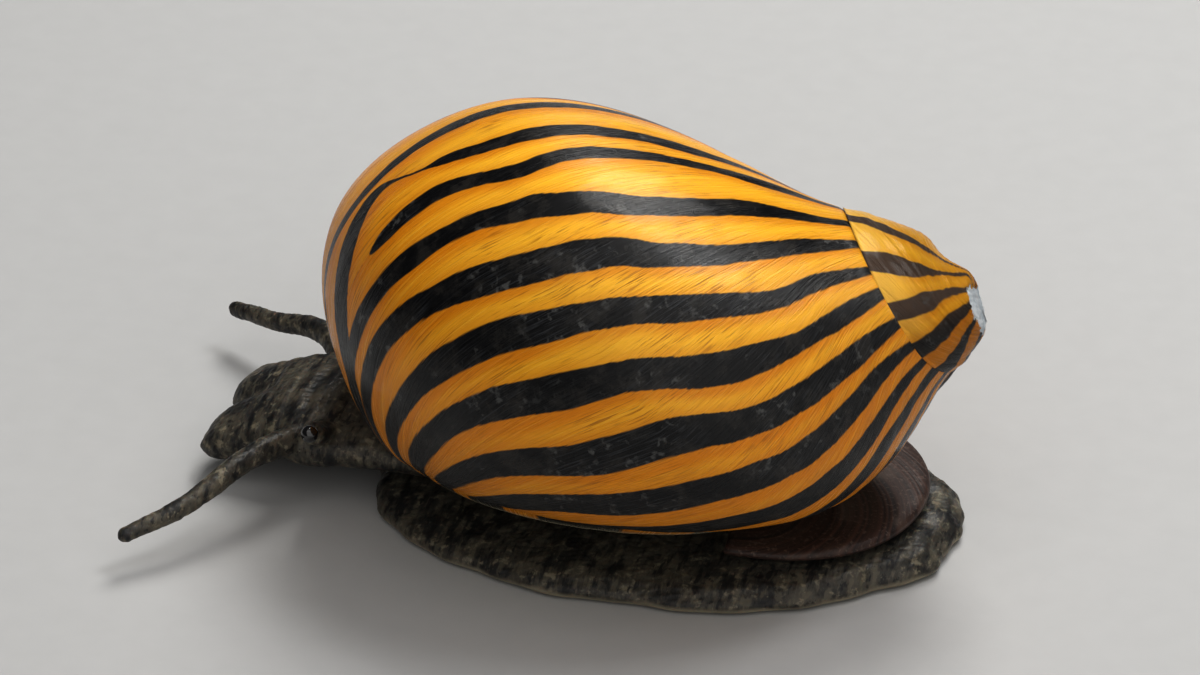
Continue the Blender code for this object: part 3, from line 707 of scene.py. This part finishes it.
def shell_material():
    """Glossy shell: amber with black bands and growth lines, browner on the spire, chalky where worn; golden
    amber on the lit flank and lighter brown on the spire's top are partly painted light, and a pale strip by
    the spire's suture is a painted highlight.
    """
    n = Nodes("striped_shell")
    band, growth, along = map(n.mark, ("band", "growth", "along"))
    callus, worn, older, golden = map(n.mark, ("callus", "worn", "older", "golden"))
    place = n.place()
    lines = n.vector(growth, n.times(along, 3.0))
    short_lines = n.vector(n.times(growth, 2.0), n.times(along, 11.0))
    fine = n.noise(lines, 1.9, 4.0, 0.62)
    broad = n.noise(lines, 0.28, 3.0, 0.5)
    ticks = n.noise(short_lines, 1.3, 2.0, 0.55)
    patches = n.noise(place, 330.0, 3.0, 0.55)
    blotch = n.noise(place, 420.0, 3.0, 0.5)
    dust = n.noise(place, 1100.0, 5.0, 0.68)
    flakes = n.noise(place, 2400.0, 4.0, 0.6)
    ragged = n.about_zero(fine, 0.15)
    depth = n.plus(band, ragged)
    black = n.step(depth, -0.035, 0.035)
    near = n.step(depth, -0.5, 0.0)
    patchy = n.step(patches, 0.44, 0.60)
    separate = n.add("ShaderNodeSeparateXYZ")
    n.put(separate.inputs[0], place)
    # Height over the floor: on the spire's top it brings lighter brown blacks, partly painted highlight, and a
    # pale strip by the suture, a painted highlight.
    high = n.step(separate.outputs["Z"], 0.0096, 0.0110)
    # Deep to golden amber by the mark and broad noise: partly own tone, partly painted light on the lit flank
    # and painted shade away from it.
    lit_gold_share = n.step(n.plus(golden, n.about_zero(broad, 0.7)), 0.0, 1.0)
    amber = n.mix(lit_gold_share, DEEP_AMBER, GOLDEN_AMBER)
    amber = n.mix(n.times(n.step(fine, 0.50, 0.76), 0.45), amber, LIGHT_LINE)
    amber = n.mix(n.times(n.step(fine, 0.50, 0.28), 0.40), amber, BROWN_LINE)
    scratch = n.times(n.step(ticks, 0.47, 0.36), n.plus(n.times(patchy, 0.45), 0.12))
    amber = n.mix(scratch, amber, SCRATCHED_AMBER)
    amber = n.mix(n.times(near, 0.35), amber, BAND_MARGIN)
    # Pale gold strip by the suture on the spire's top: a painted highlight.
    suture_highlight = n.times(n.times(older, high), n.times(n.step(along, 0.22, 0.0), 0.8))
    amber = n.mix(suture_highlight, amber, SUTURE_HIGHLIGHT)
    # Spire blacks: brownish with age, lighter brown on the top as partly painted highlight.
    browned_and_lit = n.mix(high, SPIRE_BLACK, SPIRE_BROWN_AND_SHEEN)
    dark = n.mix(older, BAND_BLACK, browned_and_lit)
    scuffs = n.times(n.step(ticks, 0.50, 0.64), n.plus(n.times(patchy, 0.34), 0.04))
    dark = n.mix(scuffs, dark, SCUFFED_BLACK)
    dark = n.mix(n.times(n.step(dust, 0.46, 0.66), 0.45), dark, DUSTY_BLACK)
    dark = n.mix(n.times(n.step(flakes, 0.56, 0.68), n.times(patchy, 0.6)), dark, FLAKED_BLACK)
    colour = n.mix(black, amber, dark)
    cream = n.mix(n.step(blotch, 0.35, 0.7), CALLUS_CREAM, CALLUS_TAN)
    colour = n.mix(callus, colour, cream)
    chalk = n.mix(n.step(flakes, 0.36, 0.66), CHALK_WHITE, CHALK_GREY)
    wear = n.step(n.plus(worn, n.about_zero(flakes, 0.7)), -0.02, 0.03)
    colour = n.mix(wear, colour, chalk)
    rough = n.plus(0.17, n.times(fine, 0.18))
    rough = n.plus(rough, n.times(wear, 0.35))
    height = n.times(n.plus(fine, n.times(broad, 0.6)), n.math("SUBTRACT", 1.0, callus))
    normal = n.bump(height, 0.00006, 1.0)
    return n.finish(colour, rough, Normal=normal, Specular_IOR_Level=0.31, Coat_Weight=0.14,
                    Coat_Roughness=0.15, Coat_IOR=1.45)


def skin_material():
    n = Nodes("mottled_skin")
    place = n.place()
    sole = n.mark("sole")
    large = n.noise(place, 650.0, 4.0, 0.6)
    small = n.noise(place, 2600.0, 4.0, 0.62)
    grain = n.noise(place, 9000.0, 2.0, 0.5)
    stretch = n.add("ShaderNodeMapping")
    stretch.inputs["Scale"].default_value = (1.0, 0.2, 0.5)
    n.put(stretch.inputs["Vector"], place)
    lines = n.noise(stretch.outputs[0], 4600.0, 3.0, 0.6)
    grey = n.mix(n.step(large, 0.34, 0.64), (0.022, 0.021, 0.020), (0.088, 0.078, 0.060))
    grey = n.mix(n.times(n.step(lines, 0.50, 0.62), 0.5), grey, (0.150, 0.132, 0.095))
    grey = n.mix(n.times(n.step(small, 0.55, 0.68), 0.6), grey, (0.27, 0.24, 0.17))
    grey = n.mix(n.times(n.step(lines, 0.46, 0.36), 0.85), grey, (0.010, 0.010, 0.011))
    grey = n.mix(n.times(n.step(small, 0.42, 0.34), 0.7), grey, (0.008, 0.008, 0.009))
    pale = n.mix(n.step(large, 0.35, 0.7), (0.34, 0.30, 0.215), (0.23, 0.20, 0.145))
    colour = n.mix(sole, grey, pale)
    normal = n.bump(small, 0.00004, 0.6)
    normal = n.bump(grain, 0.00002, 0.4, normal)
    rough = n.plus(0.40, n.times(grain, 0.2))
    return n.finish(colour, rough, Normal=normal, Specular_IOR_Level=0.32, Coat_Weight=0.10,
                    Coat_Roughness=0.22, Subsurface_Weight=0.15, Subsurface_Scale=0.0006)


def plate_material():
    n = Nodes("operculum_plate")
    arc = n.mark("arc")
    place = n.place()
    ripple = n.noise(n.vector(n.times(arc, 60.0), 0.0), 1.0, 3.0)
    blotch = n.noise(place, 700.0, 3.0)
    granules = n.noise(place, 7000.0, 2.0)
    colour = n.mix(n.step(ripple, 0.35, 0.65), (0.020, 0.012, 0.010), (0.070, 0.034, 0.024))
    colour = n.mix(n.times(n.step(blotch, 0.5, 0.68), 0.45), colour, (0.115, 0.078, 0.058))
    colour = n.mix(n.times(n.step(granules, 0.56, 0.68), 0.5), colour, (0.16, 0.11, 0.085))
    normal = n.bump(granules, 0.00002, 0.7, n.bump(ripple, 0.00006, 0.8))
    return n.finish(colour, 0.5, Normal=normal, Specular_IOR_Level=0.4, Coat_Weight=0.08, Coat_Roughness=0.3)


def eye_material():
    n = Nodes("eye_black")
    cloud = n.noise(n.place(), 3000.0, 2.0)
    colour = n.mix(cloud, (0.004, 0.004, 0.005), (0.016, 0.014, 0.014))
    return n.finish(colour, 0.12, Coat_Weight=1.0, Coat_Roughness=0.03)


# The soft body, in millimetres.

FOOT_LENGTH = 20.6
FOOT_WIDTH = 14.2
# Rings from the sole up: inset and height, then inset and share of the top's height.
FOOT_MARGIN = ((3.0, 0), (1.2, 0), (0.6, 0), (0.3, 0.03), (0.1, 0.14), (0.0, 0.3), (0.04, 0.45), (0.2, 0.6))
FOOT_SHOULDER = ((0.5, 0.86), (0.9, 0.96), (1.6, 1.0), (2.6, 1.03))
# The stalk between foot and shell, and the scale and climb of its rings.
STALK_CENTRE = np.array([-3.3, 1.6])
STALK_SIZE = np.array([4.1, 3.0])
STALK_RINGS = ((1.28, 0.04), (1.12, 0.16), (1.02, 0.4), (0.97, 0.75), (0.98, 1.15))
SOLE_POINTS = 320
HEAD_MIDDLE = -0.6
SNOUT_START = 13.5
SNOUT_END = 16.1
# How far forward, height of the middle, half width and half height.
HEAD_STATIONS = np.array([
    (5.5, 1.75, 2.55, 0.85),
    (8.1, 1.90, 2.75, 0.86),
    (10.4, 1.95, 3.00, 0.90),
    (12.0, 2.04, 3.30, 1.15),
    (13.4, 1.94, 2.86, 1.15),
    (14.5, 1.63, 2.80, 1.02),
    (15.4, 1.36, 2.90, 0.84),
    (16.2, 1.16, 2.75, 0.74),
])
MUZZLE_START = 15.25
TENTACLE_ROUTES = {
    "left": np.array([(12.1, -2.1, 2.3), (13.5, -4.7, 2.45), (14.9, -7.1, 1.8), (16.6, -9.0, 1.3)]),
    "right": np.array([(12.0, 2.0, 2.3), (13.8, 4.2, 2.5), (16.1, 5.2, 2.05), (18.2, 6.4, 1.6)]),
}
EYESTALK_ROOT = np.array([11.55, 2.3, 2.5])
EYESTALK_LEAN = np.array([-0.1, 1.0, 0.55]) / np.linalg.norm([-0.1, 1.0, 0.55])
EYESTALK_LENGTH = 1.85
EYESTALK_RADIUS = 0.40
EYE_RADIUS = 0.3
EYE_GAP = 0.15
VOXEL = 0.062
# The operculum's plate, and the share of its outline and height of each ring.
PLATE_REACH = 5.8
PLATE_HALF_CHORD = 5.0
PLATE_START = 3.3
PLATE_BOTTOM = 1.35
PLATE_TOP = 1.88
PLATE_RINGS = ((0.3, 0.0), (0.9, 0.0), (0.98, 0.06), (1.0, 0.2), (0.985, 0.32), (0.95, 0.40), (0.88, 0.45),
               (0.8, 0.48), (0.7, 0.50), (0.6, 0.51), (0.5, 0.52), (0.4, 0.53), (0.3, 0.53), (0.2, 0.53),
               (0.1, 0.53))
SOFT_NODE_NAMES = ("mantle", "foot", "neck", "head", "snout", "eyestalk", "tentacle")


def superellipse(count, power):
    angle = np.linspace(0, 2 * math.pi, count, endpoint=False)
    across, along = np.sin(angle), np.cos(angle)
    return np.stack([np.sign(along) * np.abs(along) ** (2 / power),
                     np.sign(across) * np.abs(across) ** (2 / power)], axis=-1)


def foot_outline(inset):
    """The foot from above: broad and blunt in front, tapering behind, its margin gently waved."""
    shape = superellipse(SOLE_POINTS, 2.3)
    angle = np.arctan2(shape[:, 1], shape[:, 0])
    taper = np.where(shape[:, 0] < 0, 1 - 0.22 * shape[:, 0] ** 2, 1 + 0.04 * shape[:, 0])
    wave = 0.010 * np.sin(9 * angle + 1) + 0.007 * np.sin(14 * angle + 2)
    wave = 1 + (wave + 0.004 * np.sin(31 * angle))
    half = np.array([FOOT_LENGTH / 2 - inset, FOOT_WIDTH / 2 - inset])
    return shape * half * np.stack([wave, wave * taper], axis=-1) * (-1, 1)


def foot_top(x):
    return 0.75 + 0.30 * smoothstep(x, -FOOT_LENGTH / 2, FOOT_LENGTH / 4)


def lip_plane_height(x):
    return FRONT_END[2] - math.tan(LIP_TILT) * (x - FRONT_END[0])


def foot_piece():
    rings = []
    for inset, height in FOOT_MARGIN:
        outline = foot_outline(inset)
        rings.append(np.column_stack([outline, np.full(len(outline), height)]))
    for inset, share in FOOT_SHOULDER:
        outline = foot_outline(inset)
        folds = 0.03 * np.sin(np.arctan2(outline[:, 1], outline[:, 0]) * 34)
        height = foot_top(outline[:, 0]) * share + folds * smoothstep(inset, 0.3, 1)
        rings.append(np.column_stack([outline, height]))
    shape = superellipse(SOLE_POINTS, 2.2) * (-1, 1)
    for scale, climb in STALK_RINGS:
        stalk = STALK_CENTRE + shape * STALK_SIZE * scale
        low = foot_top(stalk[:, 0])
        high = lip_plane_height(stalk[:, 0]) - 0.1
        rings.append(np.column_stack([stalk, low + (high - low) * climb]))
    return np.array(rings), np.array([0, 0, 0.0]), rings[-1].mean(axis=0)


def mantle_piece():
    outline = aperture_outline(LIP_THICKNESS + 0.5, 0, 500)
    middle = outline.mean(axis=0)
    reach = np.linalg.norm(outline - middle, axis=1, keepdims=True)
    rings = []
    for height, inset in ((-0.22, 1.2), (-0.24, 0.6), (-0.15, 0.15), (0.05, 0.0), (1.4, 0.0), (1.8, 0.4)):
        ring = middle + (outline - middle) * (1 - inset / reach)
        rings.append(lip_to_shell(ring, np.full(len(ring), height)) @ SHELL_AXES + APEX)
    return np.array(rings), rings[0].mean(axis=0), rings[-1].mean(axis=0)


def head_piece():
    """Neck, head and a broad muzzle of two rounded lobes."""
    rings = []
    shape = superellipse(120, 2.35)
    length = SNOUT_END + 0.1 - MUZZLE_START
    muzzle = MUZZLE_START + length * np.sin(np.linspace(0, math.pi / 2, 30)[1:])
    for forward in np.concatenate([np.linspace(5.5, MUZZLE_START, 120), muzzle]):
        height, half_width, half_height = spline(HEAD_STATIONS[:, 0], HEAD_STATIONS[:, 1:], np.array(forward))
        closing = math.sqrt(max(1 - max((forward - MUZZLE_START) / length, 0) ** 2, 0.0004))
        across = shape[:, 0] * half_width * (1 - 0.22 * (1 - closing))
        level = shape[:, 1]
        cleft = 0.62 * smoothstep(forward, SNOUT_START, SNOUT_END) * np.exp(-(across / 0.62) ** 2)
        groove = 0.17 * smoothstep(forward, SNOUT_START + 0.2, SNOUT_END) * np.exp(-(across / 0.42) ** 2)
        fold = 0.035 * np.sin(forward * 9.5 + 0.5 * np.sin(across * 2)) * smoothstep(forward, 9.8, 11.5)
        fold = fold * smoothstep(forward, MUZZLE_START, MUZZLE_START - 0.8) * smoothstep(level, 0.0, 0.6)
        crease = groove * closing * np.sign(level) * smoothstep(np.abs(level), 0.1, 0.6)
        upper = level * half_height * closing - crease
        rings.append(np.stack([-forward + cleft, HEAD_MIDDLE + across, height + upper + fold], axis=-1))
    return np.array(rings), rings[0].mean(axis=0), rings[-1].mean(axis=0)


def tube(route, radii, count=28):
    heading = np.gradient(route, axis=0)
    heading /= np.linalg.norm(heading, axis=1, keepdims=True)
    side = np.cross(heading, (0, 0, 1))
    side /= np.linalg.norm(side, axis=1, keepdims=True)
    up = np.cross(side, heading)
    angle = np.linspace(0, 2 * math.pi, count, endpoint=False)[:, None]
    circle = np.cos(angle) * side[:, None] + np.sin(angle) * up[:, None]
    rings = route[:, None] + radii[:, None, None] * circle
    return rings, route[0], route[-1] + heading[-1] * radii[-1] * 0.3


def tentacle_piece(side):
    """A tapering feeler with a rounded tip and faint rings, its root widened into the head."""
    stations = TENTACLE_ROUTES[side] * (-1, 1, 1) + (0, HEAD_MIDDLE, 0)
    route = evenly_spaced(spline(np.linspace(0, 1, 4), stations, np.linspace(0, 1, 200)), 150)
    share = np.linspace(0, 1, 150)
    radii = 0.5 + (0.27 - 0.5) * share + 0.22 * np.exp(-share / 0.05) + 0.012 * np.sin(share * 190)
    radii = radii * np.sqrt(np.clip(1 - ((share - 0.97) / 0.0305).clip(0) ** 2, 0.02, 1))
    return tube(route, radii)


def eyestalk_line(side):
    """Where an eye stalk starts on the head, and the way it points."""
    mirror = np.array([-1, -1 if side == "left" else 1, 1])
    return EYESTALK_ROOT * mirror + (0, HEAD_MIDDLE, 0), EYESTALK_LEAN * mirror


def eyestalk_piece(side):
    base, heading = eyestalk_line(side)
    reach = np.linspace(-0.8, EYESTALK_LENGTH + 0.34, 40)
    route = base + reach[:, None] * heading
    radii = EYESTALK_RADIUS + 0.25 * np.exp(-(reach + 0.8) / 0.7)
    radii = radii * np.sqrt(np.clip(1 - ((reach - EYESTALK_LENGTH) / 0.35).clip(0) ** 2, 0.05, 1))
    return tube(route, radii)


def mesh_points(mesh, kind):
    values = np.empty(len(mesh.vertices) * 3, np.float32)
    mesh.vertices.foreach_get(kind, values)
    return values.reshape(-1, 3).astype(float)


def mouth_cut(skin):
    """Cut the mouth's slit into the underside of the muzzle, between two swollen lips."""
    points = mesh_points(skin.data, "co")
    from_middle = points[:, 1] - HEAD_MIDDLE
    forward = -points[:, 0]
    along = np.exp(-((forward - 15.35) / 0.75) ** 4)
    under = smoothstep(points[:, 2], 1.25, 0.75) * along
    slit = np.exp(-(from_middle / 0.13) ** 2)
    lips = np.exp(-((np.abs(from_middle) - 0.42) / 0.2) ** 2)
    points[:, 2] += under * (0.55 * slit - 0.10 * lips)
    skin.data.vertices.foreach_set("co", points.astype(np.float32).ravel())


def make_skin():
    """One skin over foot, mantle, neck, head, feelers and eye stalks."""
    pieces = [foot_piece(), mantle_piece(), head_piece()]
    pieces += [make(side) for side in ("left", "right") for make in (tentacle_piece, eyestalk_piece)]
    joined = bmesh.new()
    for number, (rings, start, end) in enumerate(pieces):
        part = closed_mesh(f"soft_{number}", np.asarray(rings), start, end)
        joined.from_mesh(part.data)
        bpy.data.objects.remove(part)
    mesh = bpy.data.meshes.new("soft_body")
    joined.to_mesh(mesh)
    joined.free()
    skin = scene_object("soft_body", mesh)
    bpy.context.view_layer.objects.active = skin
    remesh = skin.modifiers.new("remesh", "REMESH")
    remesh.mode = "VOXEL"
    remesh.voxel_size = VOXEL
    bpy.ops.object.modifier_apply(modifier="remesh")
    relax = skin.modifiers.new("relax", "SMOOTH")
    relax.factor = 0.5
    relax.iterations = 9
    bpy.ops.object.modifier_apply(modifier="relax")
    mouth_cut(skin)
    settle_skin(skin)
    skin.data.shade_smooth()
    return skin


def settle_skin(skin):
    """Fine wrinkles, a flat sole at the floor, the mark of the pale sole, and the size in metres."""
    points, normals = mesh_points(skin.data, "co"), mesh_points(skin.data, "normal")
    x, y, z = points.T
    wrinkle = wobble(x * 4, y * 3, z * 4, seed=31, waves=9)
    wrinkle = wrinkle + 0.6 * wobble(x * 10, y * 8, z * 9, seed=32, waves=9)
    wrinkle = wrinkle + 0.35 * wobble(x * 24, y * 17, z * 20, seed=33, waves=12)
    points += (0.024 * wrinkle * smoothstep(z, 0.1, 0.7))[:, None] * normals
    sole = smoothstep(z + 0.06 * wobble(x * 3, y * 3, seed=34), 0.40, 0.18)
    points[:, 2] = np.maximum(points[:, 2], 0.0)
    mark = skin.data.attributes.new("sole", "FLOAT", "POINT")
    mark.data.foreach_set("value", sole.astype(np.float32))
    skin.data.vertices.foreach_set("co", (points * MM).astype(np.float32).ravel())
    skin.data.update()


def make_operculum():
    """A thin half-moon plate with a domed face and growth arcs."""
    angle = np.linspace(-math.pi / 2, math.pi / 2, 140)
    bow = np.stack([np.cos(angle) ** 0.8 * PLATE_REACH, np.sin(angle) * PLATE_HALF_CHORD], axis=-1)
    chord = np.linspace(PLATE_HALF_CHORD, -PLATE_HALF_CHORD, 80)[1:-1]
    edge = np.stack([-0.35 * np.cos(chord / (2 * PLATE_HALF_CHORD) * math.pi), chord], axis=-1)
    outline = np.concatenate([bow, edge]) + (PLATE_START, 0)
    middle = outline.mean(axis=0)
    nucleus = np.array([3.6, -2.6])
    rings, arcs = [], []
    for share, height in PLATE_RINGS:
        ring = middle + (outline - middle) * share
        arc = np.linalg.norm(ring - nucleus, axis=1)
        ridge = 0.012 * np.sin(arc * 9) * smoothstep(share, 1.0, 0.9) * (height > 0.3)
        rings.append(np.column_stack([ring, PLATE_BOTTOM + height + ridge]))
        arcs.append(arc / 10)
    low = np.append(middle, PLATE_BOTTOM)
    high = np.append(middle, PLATE_TOP)
    return closed_mesh("operculum_plate", np.array(rings) * MM, low * MM, high * MM, {"arc": np.array(arcs)})


def make_eye(side):
    """A glossy ball with a slightly flattened back, seated in the tip of its stalk."""
    base, heading = eyestalk_line(side)
    centre = base + (EYESTALK_LENGTH + EYE_GAP + EYE_RADIUS) * heading
    reach = np.cos(np.linspace(0.12, math.pi - 0.12, 26))
    route = centre - EYE_RADIUS * reach[:, None] * heading
    rings = tube(route, EYE_RADIUS * np.sqrt(1 - reach ** 2), 40)[0]
    return closed_mesh(f"eye_ball_{side}", rings * MM, (centre - EYE_RADIUS * heading) * MM,
                       (centre + EYE_RADIUS * heading) * MM)


# Studio.

FLOOR_HALF = 0.6
FLOOR_CELLS = 24
SURROUND_STRENGTH = 0.06
LIGHTS_AIM = Vector((0, 0, 0.009))
# Name, azimuth, rise, distance, size, power and colour.
STUDIO_LIGHTS = [
    ("key", 88, 58, 0.166, (0.065, 0.095), 0.214, (1.0, 0.985, 0.955)),
    ("top", -90, 84, 0.20, (0.20, 0.20), 0.056, (1.0, 0.985, 0.96)),
    ("fill", -64, 43, 0.27, (0.50, 0.50), 0.82, (1.0, 0.98, 0.95)),
    ("side", 26, 66, 0.20, (0.06, 0.06), 0.115, (0.98, 0.99, 1.0)),
]


def add_light(name, azimuth, rise, distance, size, power, colour):
    """A soft box aimed at the model from an azimuth, counted from +X toward +Y, and a rise over the floor."""
    azimuth, rise = math.radians(azimuth), math.radians(rise)
    away = Vector((math.cos(azimuth) * math.cos(rise), math.sin(azimuth) * math.cos(rise), math.sin(rise)))
    data = bpy.data.lights.new(name, "AREA")
    data.shape = "RECTANGLE"
    data.size, data.size_y = size
    data.energy = power
    data.color = colour
    light = scene_object(name, data)
    light.location = LIGHTS_AIM + distance * away
    light.rotation_mode = "QUATERNION"
    light.rotation_quaternion = away.to_track_quat("Z", "Y")


def make_stage():
    """A pale floor, soft lights and a dim surround."""
    mesh = bpy.data.meshes.new("floor")
    side = FLOOR_CELLS + 1
    steps = np.linspace(-1, 1, side) * FLOOR_HALF
    vertices = [(column, row, 0) for row in steps for column in steps]
    corners = [row * side + column for row in range(FLOOR_CELLS) for column in range(FLOOR_CELLS)]
    mesh.from_pydata(vertices, [], [(first, first + 1, first + side + 1, first + side) for first in corners])
    floor = scene_object("floor", mesh)
    n = Nodes("floor_paper")
    grain = n.noise(n.place(), 900.0, 3.0)
    floor.data.materials.append(n.finish(n.mix(grain, (0.46, 0.461, 0.46), (0.49, 0.491, 0.49)), 0.85))
    world = bpy.data.worlds.new("surround")
    bpy.context.scene.world = world
    world.use_nodes = True
    background = world.node_tree.nodes["Background"]
    background.inputs["Color"].default_value = (0.86, 0.90, 1.0, 1)
    background.inputs["Strength"].default_value = SURROUND_STRENGTH
    for light in STUDIO_LIGHTS:
        add_light(*light)


def make_camera():
    across = np.array([math.cos(CAMERA_AZIMUTH), math.sin(CAMERA_AZIMUTH), 0])
    back = np.array([math.sin(CAMERA_AZIMUTH) * math.cos(CAMERA_RISE),
                     -math.cos(CAMERA_AZIMUTH) * math.cos(CAMERA_RISE), math.sin(CAMERA_RISE)])
    up = np.cross(back, across)
    from_centre = np.array([APEX_PIXEL[0] - IMAGE_SIZE[0] / 2, IMAGE_SIZE[1] / 2 - APEX_PIXEL[1]])
    offset = APEX_DISTANCE / FOCAL_PIXELS * from_centre
    target = APEX - offset[0] * across - offset[1] * up
    data = bpy.data.cameras.new("camera")
    camera = scene_object("camera", data)
    data.sensor_width = SENSOR_WIDTH
    data.lens = SENSOR_WIDTH * FOCAL_PIXELS / IMAGE_SIZE[0]
    data.clip_start = 0.005
    data.clip_end = 5
    camera.location = (target + APEX_DISTANCE * back) * MM
    camera.rotation_mode = "QUATERNION"
    camera.rotation_quaternion = Matrix((across, up, back)).transposed().to_quaternion()
    bpy.context.scene.camera = camera


def set_tones():
    view = bpy.context.scene.view_settings
    view.view_transform = "Standard"
    view.gamma = VIEW_GAMMA


def dress(piece, look, slot, *nodes):
    piece.data.materials.clear()
    piece.data.materials.append(look)
    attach(piece, "root")
    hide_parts(*nodes)


def main():
    shell = shell_material()
    dress(make_body(), shell, "striped_shell", "shell_body_whorl")
    dress(make_spire(), shell, "striped_shell", "shell_spire", "shell_apex")
    soft_nodes = [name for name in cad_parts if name.startswith(SOFT_NODE_NAMES)]
    dress(make_skin(), skin_material(), "mottled_skin", *soft_nodes)
    dress(make_operculum(), plate_material(), "operculum_plate", "operculum")
    black = eye_material()
    for side in ("left", "right"):
        dress(make_eye(side), black, "eye_black", f"eye_{side}")
    make_stage()
    make_camera()
    set_tones()


main()
